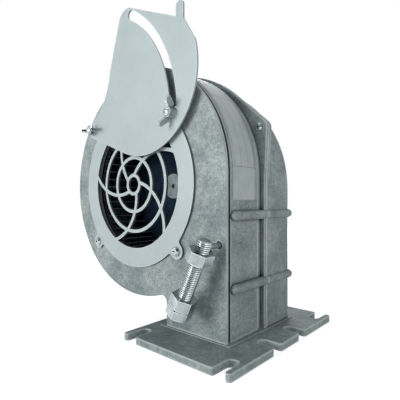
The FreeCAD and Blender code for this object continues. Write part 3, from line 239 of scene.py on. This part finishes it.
def ramp(tree, value, stops):
    """A colour ramp. Each stop is a place and a colour."""
    node = add_node(tree, "ValToRGB", {"Fac": value})
    elements = node.color_ramp.elements
    while len(elements) < len(stops):
        elements.new(0.5)
    for element, (place, colour) in zip(elements, stops):
        element.position = place
        element.color = colour
    return node.outputs["Color"]


def number_range(tree, value, low, high):
    """A share from 0 to 1, spread between two numbers."""
    return add_node(
        tree, "MapRange", {"Value": value, "To Min": low, "To Max": high}
    ).outputs["Result"]


def blend(tree, fac, first, second, how="MIX"):
    """Two colours mixed. The mix node has a socket of each name for every data type, so its
    sockets are taken by number."""
    node = tree.nodes.new("ShaderNodeMix")
    node.data_type = "RGBA"
    node.blend_type = how
    sockets = {"Factor": node.inputs[0], "A": node.inputs[6], "B": node.inputs[7]}
    for name, value in (("Factor", fac), ("A", first), ("B", second)):
        if isinstance(value, bpy.types.NodeSocket):
            tree.links.new(value, sockets[name])
        else:
            sockets[name].default_value = value
    return node.outputs[2]


def bump(tree, height, depth, strength=1, under=None):
    """A normal bent by a height from 0 to 1 that stands for a depth in metres."""
    inputs = {"Height": height, "Distance": depth, "Strength": strength}
    if under is not None:
        inputs["Normal"] = under
    return add_node(tree, "Bump", inputs).outputs["Normal"]


def surface(tree, **inputs):
    """A principled shader with these inputs, as the material's surface."""
    shader = add_node(tree, "BsdfPrincipled", inputs)
    add_node(tree, "OutputMaterial", {"Surface": shader.outputs[0]})


def hollow(tree, reach):
    """How open a spot is: 1 on a free surface, less in grooves and inner corners."""
    return add_node(
        tree, "AmbientOcclusion", {"Distance": reach}, samples=HOLLOW_SAMPLES, only_local=True
    ).outputs["AO"]


def edge_highlight_mask(tree, reach):
    """Mask of the painted edge highlights: 1 along outer edges and 0 on flat runs, from how soon
    the metal behind a spot ends.
    """
    behind = add_node(
        tree,
        "AmbientOcclusion",
        {"Distance": reach},
        samples=HOLLOW_SAMPLES,
        only_local=True,
        inside=True,
    ).outputs["AO"]
    return add_node(
        tree,
        "MapRange",
        {"Value": behind, "From Min": 0.93, "From Max": 0.6, "To Min": 0, "To Max": 1},
    ).outputs["Result"]


def times(tree, first, second):
    """The product of two values."""
    return add_node(tree, "Math", {0: first, 1: second}, operation="MULTIPLY").outputs[0]


def cast_alloy():
    """Dull cast metal: soft grey clouds, fine grain, painted shade and grime in grooves, painted
    highlights on edges, and painted shade on faces that look up."""
    material, tree = new_material("cast_alloy")
    clouds = noise(tree, 38, 3, 0.55)
    patches = noise(tree, 290, 6, 0.72)
    grain = noise(tree, 1000, 4, 0.75)
    colour = ramp(
        tree,
        patches,
        [(0.3, srgb(129, 140, 140)), (0.5, srgb(154, 165, 163)), (0.7, srgb(177, 187, 185))],
    )
    soft = ramp(tree, clouds, [(0.36, srgb(208, 213, 216)), (0.6, WHITE)])
    colour = blend(tree, 1, colour, soft, "MULTIPLY")
    fine = ramp(tree, grain, [(0.36, srgb(176, 179, 181)), (0.56, WHITE)])
    colour = blend(tree, 0.8, colour, fine, "MULTIPLY")
    # Painted shade, partly grime: grooves and inner corners are darkened by how open they are.
    is_open = hollow(tree, 0.0045)
    hollow_shade = ramp(tree, is_open, [(0.36, srgb(44, 53, 62)), (0.78, WHITE)])
    colour = blend(tree, 0.95, colour, hollow_shade, "MULTIPLY")
    # Painted highlight: outer edges are lightened.
    edge = times(tree, edge_highlight_mask(tree, 0.0018), times(tree, is_open, 0.8))
    colour = blend(tree, edge, colour, srgb(186, 196, 194))
    # Painted shade: faces that look up are darkened.
    facing = add_node(tree, "NewGeometry").outputs["Normal"]
    upward = add_node(tree, "SeparateXYZ", {0: facing}).outputs["Z"]
    top_shade = ramp(tree, upward, [(0.6, WHITE), (0.95, srgb(222, 225, 227))])
    colour = blend(tree, 1, colour, top_shade, "MULTIPLY")
    wavy = bump(tree, patches, 0.0005, 0.3)
    surface(
        tree,
        **{
            "Base Color": colour,
            "Metallic": 0.2,
            "Roughness": number_range(tree, patches, 0.6, 0.76),
            "Normal": bump(tree, grain, 0.00014, 0.5, wavy),
        },
    )
    return material


def plated_sheet(name="plated_sheet", side_shade=(150, 160, 162)):
    """Zinc-plated sheet: pale and dull, faintly clouded, with a fine drawn grain and painted
    highlights on its edges. The sides of the sheet get a darker colour of their own, painted
    shade."""
    material, tree = new_material(name)
    clouds = noise(tree, 30, 5, 0.6)
    drawn = noise(tree, 600, 3, 0.6, (1, 1, 0.15))
    colour = ramp(
        tree,
        clouds,
        [(0.3, srgb(160, 171, 172)), (0.5, srgb(165, 176, 177)), (0.72, srgb(171, 182, 182))],
    )
    streak = ramp(tree, drawn, [(0.3, srgb(248, 249, 250)), (0.6, WHITE)])
    colour = blend(tree, 0.6, colour, streak, "MULTIPLY")
    # Painted highlight: outer edges are lightened.
    edge = times(tree, edge_highlight_mask(tree, 0.0008), 0.5)
    colour = blend(tree, edge, colour, srgb(212, 222, 222))
    # Painted shade: the sides of the sheet, which face neither forward nor back, get a darker
    # colour.
    facing = add_node(tree, "NewGeometry").outputs["Normal"]
    forward = add_node(tree, "SeparateXYZ", {0: facing}).outputs["Y"]
    flatness = add_node(tree, "Math", {0: forward}, operation="ABSOLUTE").outputs[0]
    is_face = add_node(
        tree, "MapRange", {"Value": flatness, "From Min": 0.5, "From Max": 0.8}
    ).outputs["Result"]
    colour = blend(tree, is_face, srgb(*side_shade), colour)
    surface(
        tree,
        **{
            "Base Color": colour,
            "Metallic": 0.15,
            "Roughness": number_range(tree, drawn, 0.42, 0.55),
            "Normal": bump(tree, drawn, 0.00002, 0.3),
        },
    )
    return material


def metal(name, colours, metallic, roughness, scale=180, depth=0.00004, edge=0.4):
    """A metal finish: slightly cloudy between its two colours and its two roughnesses, painted
    shade in hollows, painted highlights on edges. scale is the clouds' in spots to the metre."""
    low, high = colours
    material, tree = new_material(name)
    clouds = noise(tree, scale, 4, 0.6)
    fine = noise(tree, scale * 8, 2, 0.5)
    colour = ramp(tree, clouds, [(0.3, srgb(*low)), (0.7, srgb(*high))])
    # Painted shade: hollows such as thread roots are darkened.
    is_open = hollow(tree, 0.003)
    hollow_shade = ramp(tree, is_open, [(0.3, srgb(60, 66, 70)), (0.85, WHITE)])
    colour = blend(tree, 0.9, colour, hollow_shade, "MULTIPLY")
    # Painted highlight: outer edges are lightened, as strongly as edge says.
    edge_highlight = times(tree, edge_highlight_mask(tree, 0.0006), times(tree, is_open, edge))
    colour = blend(tree, edge_highlight, colour, srgb(244, 248, 247))
    surface(
        tree,
        **{
            "Base Color": colour,
            "Metallic": metallic,
            "Roughness": number_range(tree, clouds, *roughness),
            "Normal": bump(tree, fine, depth, 0.4),
        },
    )
    return material


def gland_plastic():
    """Matt black moulded plastic."""
    material, tree = new_material("gland_plastic")
    clouds = noise(tree, 400, 3, 0.5)
    surface(
        tree,
        **{
            "Base Color": ramp(tree, clouds, [(0.3, srgb(28, 29, 31)), (0.7, srgb(38, 39, 41))]),
            "Roughness": number_range(tree, clouds, 0.45, 0.6),
            "Normal": bump(tree, clouds, 0.00003, 0.4),
        },
    )
    return material


def ruled_line(tree, value, place, half_width):
    """1 on a line across a share of the sticker, 0 elsewhere."""
    return add_node(
        tree, "Math", {0: value, 1: place, 2: half_width}, operation="COMPARE"
    ).outputs[0]


# The sticker's ruled lines, in shares of its width and its length.
LINES_ACROSS = (0.08, 0.36, 0.64, 0.92)
LINES_ALONG = (0.03, 0.3, 0.52, 0.86)
ACROSS_HALF_WIDTH, ALONG_HALF_WIDTH = 0.008, 0.0016
RULED_END = 0.862
LINE_STRENGTH = 0.6


def label_paper():
    """A bare pale sticker with thin ruled fields, drawn on its own map."""
    material, tree = new_material("label_paper")
    place = add_node(tree, "UVMap").outputs["UV"]
    split = add_node(tree, "SeparateXYZ", {0: place})
    along_band, across = split.outputs["X"], split.outputs["Y"]
    rules = [ruled_line(tree, across, spot, ACROSS_HALF_WIDTH) for spot in LINES_ACROSS]
    rules += [ruled_line(tree, along_band, spot, ALONG_HALF_WIDTH) for spot in LINES_ALONG]
    lines = rules[0]
    for rule in rules[1:]:
        lines = add_node(tree, "Math", {0: lines, 1: rule}, operation="MAXIMUM").outputs[0]
    within = add_node(
        tree, "Math", {0: along_band, 1: RULED_END}, operation="LESS_THAN"
    ).outputs[0]
    lines = times(tree, lines, times(tree, within, LINE_STRENGTH))
    clouds = noise(tree, 120, 3, 0.5)
    paper = ramp(tree, clouds, [(0.3, srgb(162, 172, 173)), (0.7, srgb(174, 183, 183))])
    colour = blend(tree, lines, paper, srgb(92, 102, 106))
    surface(
        tree,
        **{
            "Base Color": colour,
            "Roughness": number_range(tree, clouds, 0.35, 0.45),
            "Normal": bump(tree, clouds, 0.00003, 0.3),
        },
    )
    return material


# Where the flap shaft's painted shade at its front end stops and its plain steel starts, along Y.
DARK_END, PLAIN_START = -66.5 * MM, -64.5 * MM


def shaft_with_shaded_end():
    """The flap shaft: dull steel whose front end is darkened by painted shade."""
    material, tree = new_material("shaft_with_shaded_end")
    place = add_node(tree, "TexCoord").outputs["Object"]
    depth = add_node(tree, "SeparateXYZ", {0: place}).outputs["Y"]
    end = add_node(
        tree,
        "MapRange",
        {"Value": depth, "From Min": DARK_END, "From Max": PLAIN_START, "To Min": 1, "To Max": 0},
    ).outputs["Result"]
    clouds = noise(tree, 300, 4, 0.6)
    colour = ramp(tree, clouds, [(0.3, srgb(112, 121, 123)), (0.7, srgb(142, 150, 151))])
    # Painted shade: the shaft's front end is darkened.
    colour = blend(tree, end, colour, srgb(48, 55, 60))
    surface(
        tree,
        **{
            "Base Color": colour,
            "Metallic": 0.6,
            "Roughness": number_range(tree, clouds, 0.4, 0.55),
            "Normal": bump(tree, clouds, 0.00004, 0.4),
        },
    )
    return material


FINISHES = {
    "casing": cast_alloy(),
    "plated_sheet": plated_sheet(),
    "plated_screws": metal(
        "bright_zinc", ((140, 151, 155), (184, 193, 194)), 1, (0.16, 0.26), scale=110, edge=0.9
    ),
    # The impeller's dark navy colour is painted shade of the casing's inside.
    "impeller_sheet": metal(
        "galvanised", ((12, 26, 42), (34, 52, 69)), 0.9, (0.4, 0.55), scale=90, edge=0.7
    ),
    "motor_alloy": metal(
        "motor_alloy", ((128, 134, 134), (150, 156, 155)), 0.45, (0.45, 0.6), 120, 0.0001
    ),
    "bearing_steel": metal(
        "bearing_steel", ((122, 135, 138), (154, 166, 168)), 0.8, (0.3, 0.42)
    ),
    "core": metal("dark_steel", ((52, 54, 58), (70, 72, 76)), 0.5, (0.4, 0.55)),
    "winding": metal("copper_wire", ((132, 74, 38), (168, 98, 52)), 0.6, (0.35, 0.5), 500, 0.0002),
    "gland_plastic": gland_plastic(),
}


def dress_nodes():
    """Gives each node of the frame the finish of its material slot. Three have their own."""
    for row in frame["record"]["subparts"]:
        data = nodes[row["node"]].data
        data.materials.clear()
        data.materials.append(FINISHES[row["material_slot"]])
    nodes["flap_shaft"].data.materials[0] = shaft_with_shaded_end()
    # The guard's bar sides are painted nearly as dark as the shade behind them.
    nodes["inlet_guard"].data.materials[0] = plated_sheet("guard_sheet", (84, 94, 99))
    # The blades' dark blue colour is painted shade of the casing's inside.
    nodes["impeller_blades"].data.materials[0] = metal(
        "blade_sheet_in_painted_shade", ((32, 58, 80), (62, 92, 114)), 0.6, (0.4, 0.55), scale=90, edge=0.7
    )


# Surfaces

THREAD_STEPS_TO_A_PITCH = 12
THREAD_DEPTH_TO_PITCH = 0.5
ROD_COLUMNS, HEXAGON_COLUMNS = 48, 96
# The cone that turns off a hexagon's corners: its angle, and how far it reaches in, as a share
# of the way to the flats.
CORNER_CONE = math.radians(30)
CORNER_SHARE = 0.55
CORNER_ROWS = 5


def grid_piece(name, points, closed=True, ends="capped", smooth=True):
    """A mesh from rows of points: an array of rows, columns and x, y, z.

    Closed joins the last column to the first. Ends are capped with one point at the middle of
    the first and last rows, joined to each other, or left open.
    """
    rows, columns = points.shape[:2]
    verts = points.reshape(-1, 3)
    row = np.arange(rows if ends == "joined" else rows - 1)[:, None]
    column = np.arange(columns if closed else columns - 1)[None, :]
    after = (column + 1) % columns
    above = (row + 1) % rows
    quads = np.stack(
        [
            row * columns + column,
            row * columns + after,
            above * columns + after,
            above * columns + column,
        ],
        axis=-1,
    ).reshape(-1, 4)
    faces = quads.tolist()
    if ends == "capped":
        first = len(verts)
        verts = np.vstack([verts, points[0].mean(0), points[-1].mean(0)])
        ring = np.arange(columns)
        following = (ring + 1) % columns
        last = (rows - 1) * columns
        faces += np.stack([np.full(columns, first), following, ring], -1).tolist()
        faces += np.stack(
            [np.full(columns, first + 1), last + ring, last + following], -1
        ).tolist()
    mesh = bpy.data.meshes.new(name)
    mesh.from_pydata(verts.tolist(), [], faces)
    mesh.update()
    mesh.polygons.foreach_set("use_smooth", np.full(len(mesh.polygons), smooth))
    piece = bpy.data.objects.new(name, mesh)
    bpy.context.scene.collection.objects.link(piece)
    return piece


def along(origin, axis, side, distance, radius, angle):
    """Points at a distance along an axis and a radius and angle round it, as arrays: the origin,
    plus the distance along the axis, plus the radius times the angle's cosine along the side
    direction and times its sine along the direction square to both."""
    axis = np.array(axis, float)
    side = np.array(side, float)
    third = np.cross(axis, side)
    return (
        np.array(origin)
        + distance[..., None] * axis
        + (radius * np.cos(angle))[..., None] * side
        + (radius * np.sin(angle))[..., None] * third
    )


def thread_radius(distance, angle, major, pitch):
    """Radius of a screw thread: the outer radius less the depth times a wave. The wave is the
    distance in pitches less the angle in turns, folded to run from 1 at the root to 0 at the
    crest and back, and eased at both by its square times three less twice itself."""
    phase = (distance / pitch - angle / (2 * np.pi)) % 1
    wave = np.abs(phase * 2 - 1)
    depth = pitch * THREAD_DEPTH_TO_PITCH
    return major - depth * wave * wave * (3 - 2 * wave)


def threaded_rod(name, origin, axis, side, start, end, major, pitch, bevel):
    """A rod with a helical thread between two distances. Its radius is the thread's or, near the
    start, that of a cone whose radius grows as fast as the distance, if that is less."""
    steps = int((end - start) / pitch * THREAD_STEPS_TO_A_PITCH) + 1
    distance = np.linspace(start, end, steps)[:, None]
    angle = np.linspace(0, 2 * np.pi, ROD_COLUMNS, endpoint=False)[None, :]
    distance, angle = np.broadcast_arrays(distance, angle)
    radius = thread_radius(distance, angle, major, pitch)
    cone = major - bevel + (distance - start)
    radius = np.minimum(radius, cone)
    return grid_piece(name, along(origin, axis, side, distance, radius, angle))


def hexagon_radius(angle, flats):
    """Distance from the middle of a hexagon to its side: half the width across flats, over the
    cosine of the angle from the middle of the nearest flat."""
    sixth = np.pi / 3
    return flats / 2 / np.cos((angle + sixth / 2) % sixth - sixth / 2)


def hexagon_block(name, origin, axis, side, start, height, flats, cut_start, bore=0):
    """A bolt head or nut: a hexagon whose corners are turned off by a cone at its outer end, and
    for a nut at its start too. Its radius is the least of the hexagon's and the cones'. The
    first and last rows lie in the end faces, and a bore joins the last row to the first."""
    outer = flats / 2 / math.cos(math.pi / 6)
    slope = math.tan(CORNER_CONE)
    cut = (outer - flats / 2) * slope * CORNER_SHARE
    low = np.linspace(0, cut, CORNER_ROWS) if cut_start else np.array([0.0])
    high = np.linspace(height - cut, height, CORNER_ROWS)
    distance = np.concatenate([[0.0], low, high, [height]])
    angle = np.linspace(0, 2 * np.pi, HEXAGON_COLUMNS, endpoint=False)[None, :]
    distance, angle = np.broadcast_arrays(distance[:, None], angle)
    face = outer - cut / slope
    cone = face + (height - distance) / slope
    if cut_start:
        cone = np.minimum(cone, face + distance / slope)
    radius = np.minimum(hexagon_radius(angle, flats), cone)
    radius[0] = bore or flats / 4
    radius[-1] = bore or flats / 4
    points = along(origin, axis, side, start + distance, radius, angle)
    return grid_piece(name, points, ends="joined" if bore else "capped", smooth=False)


def join(name, pieces):
    """One piece from several that are all at the origin. The separate ones are removed."""
    mesh = bpy.data.meshes.new(name)
    verts, faces, smooth = [], [], []
    for piece in pieces:
        start = len(verts)
        verts += [tuple(v.co) for v in piece.data.vertices]
        for polygon in piece.data.polygons:
            faces.append([start + v for v in polygon.vertices])
            smooth.append(polygon.use_smooth)
        data = piece.data
        bpy.data.objects.remove(piece)
        bpy.data.meshes.remove(data)
    mesh.from_pydata(verts, [], faces)
    mesh.polygons.foreach_set("use_smooth", smooth)
    mesh.update()
    whole = bpy.data.objects.new(name, mesh)
    bpy.context.scene.collection.objects.link(whole)
    return whole


def finish_piece(piece, slot, body, *stands_for):
    """Gives a piece its finish and its body, and the nodes that it stands for."""
    piece.data.materials.append(FINISHES[slot])
    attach(piece, body)
    if stands_for:
        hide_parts(*stands_for)


# The weight bolt: its place along the flap shaft and its lean from the vertical. Its lengths
# are in millimetres along it from the shaft's axis, and its turns are in degrees round it.
WEIGHT_Y = -61.0
WEIGHT_LEAN = math.radians(25)
WEIGHT_FLATS, WEIGHT_RADIUS, WEIGHT_PITCH, WEIGHT_BEVEL = 17.2, 5.3, 1.5, 1.0
ROD_START, ROD_END = -5.5, 49
HEAD_START, HEAD_HEIGHT = 48.8, 6.8
NUT_HEIGHT = 8.4
NUT_BORE_TO_RADIUS = 0.9
UPPER_TURN, LOWER_TURN = 0, -46
WEIGHT_NUTS = (
    # name, node, start, turn
    ("shaft_nut", "clamp_nut", 2.5, UPPER_TURN),
    ("head_nut", "weight_nut", 39.9, LOWER_TURN),
)


def counterweight():
    """The weight bolt with its thread and two nuts, hung across the flap shaft."""
    shaft_x, _, shaft_z = joint_places["flap_turn"]
    origin = (shaft_x, WEIGHT_Y * MM, shaft_z)
    axis = (-math.sin(WEIGHT_LEAN), 0, -math.cos(WEIGHT_LEAN))
    flats = WEIGHT_FLATS * MM
    radius = WEIGHT_RADIUS * MM

    def side(turn):
        """A direction square to the bolt, turned round it."""
        across = math.cos(math.radians(turn))
        return (
            across * math.cos(WEIGHT_LEAN),
            math.sin(math.radians(turn)),
            -across * math.sin(WEIGHT_LEAN),
        )

    rod = threaded_rod(
        "rod",
        origin,
        axis,
        side(UPPER_TURN),
        ROD_START * MM,
        ROD_END * MM,
        radius,
        WEIGHT_PITCH * MM,
        WEIGHT_BEVEL * MM,
    )
    head = hexagon_block(
        "head",
        origin,
        axis,
        side(LOWER_TURN),
        HEAD_START * MM,
        HEAD_HEIGHT * MM,
        flats,
        cut_start=False,
    )
    finish_piece(join("weight_bolt", [rod, head]), "plated_screws", "flap", "counterweight_bolt")
    for name, node, start, turn in WEIGHT_NUTS:
        nut = hexagon_block(
            name,
            origin,
            axis,
            side(turn),
            start * MM,
            NUT_HEIGHT * MM,
            flats,
            cut_start=True,
            bore=radius * NUT_BORE_TO_RADIUS,
        )
        finish_piece(nut, "plated_screws", "flap", node)


# The two studs of the shutter, each with the joint of its nut, and their sizes in millimetres.
# Start and end are along Y.
STUDS = (("pivot_stud", "pivot_nut_turn"), ("clamp_stud", "clamp_nut_turn"))
STUD_START, STUD_END = -57.5, -37.3
STUD_RADIUS, STUD_PITCH, STUD_BEVEL = 2.5, 0.8, 0.5


def studs():
    """The shutter's two studs with their thread, in place of the plain ones."""
    for name, joint in STUDS:
        stud_x, _, stud_z = joint_places[joint]
        rod = threaded_rod(
            name + "_thread",
            (stud_x, 0, stud_z),
            (0, 1, 0),
            (1, 0, 0),
            STUD_START * MM,
            STUD_END * MM,
            STUD_RADIUS * MM,
            STUD_PITCH * MM,
            STUD_BEVEL * MM,
        )
        finish_piece(rod, "plated_screws", "fan", name)


# The sticker, in millimetres: the middle and radius of the scroll's upper right arc, the band's
# step in from it, the sticker's gap to the band, its thickness and its edges across the band.
ARC_X, ARC_Z = -63.5, 128
SCROLL_RADIUS, BAND_STEP, LABEL_GAP = 95, 0.8, 0.12
LABEL_THICKNESS = 0.1
LABEL_FRONT, LABEL_BACK = -36.0, -5.0
# Its upper end is this far round the arc, and its lower end this far below the arc's end.
LABEL_TOP = math.radians(97)
LABEL_DROP = 20
LABEL_ROWS, LABEL_COLUMNS = 120, 8


def label():
    """A thin sticker that follows the band: round the upper right of the scroll and down the
    neck's side. One parameter, s, runs along that path and the other across the band. The angle
    is the upper end's less s over the radius, down to 0, and past the arc's end the sticker
    falls by the rest of s."""
    radius = (SCROLL_RADIUS - BAND_STEP + LABEL_GAP) * MM
    arc = radius * LABEL_TOP
    length = arc + LABEL_DROP * MM
    s = np.linspace(0, length, LABEL_ROWS)[:, None]
    y = np.linspace(LABEL_FRONT, LABEL_BACK, LABEL_COLUMNS)[None, :] * MM
    s, y = np.broadcast_arrays(s, y)
    angle = np.clip(LABEL_TOP - s / radius, 0, None)
    below = np.clip(s - arc, 0, None)
    x = ARC_X * MM + radius * np.cos(angle)
    z = ARC_Z * MM + radius * np.sin(angle) - below
    piece = grid_piece("label", np.stack([x, y, z], -1), closed=False, ends="open")
    mesh = piece.data
    layer = mesh.uv_layers.new(name="map")
    corner = np.zeros(len(mesh.loops), np.int32)
    mesh.loops.foreach_get("vertex_index", corner)
    spots = np.stack([s / length, (y - y.min()) / (y.max() - y.min())], -1).reshape(-1, 2)
    layer.data.foreach_set("uv", spots[corner].astype(np.float32).ravel())
    piece.data.materials.append(label_paper())
    wall = piece.modifiers.new("thickness", "SOLIDIFY")
    wall.thickness = LABEL_THICKNESS * MM
    wall.offset = 0
    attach(piece, "fan")


make_camera()
make_floor()
make_world()
make_lamps()
dress_nodes()
counterweight()
studs()
label()
bpy.context.scene.view_settings.view_transform = "Standard"
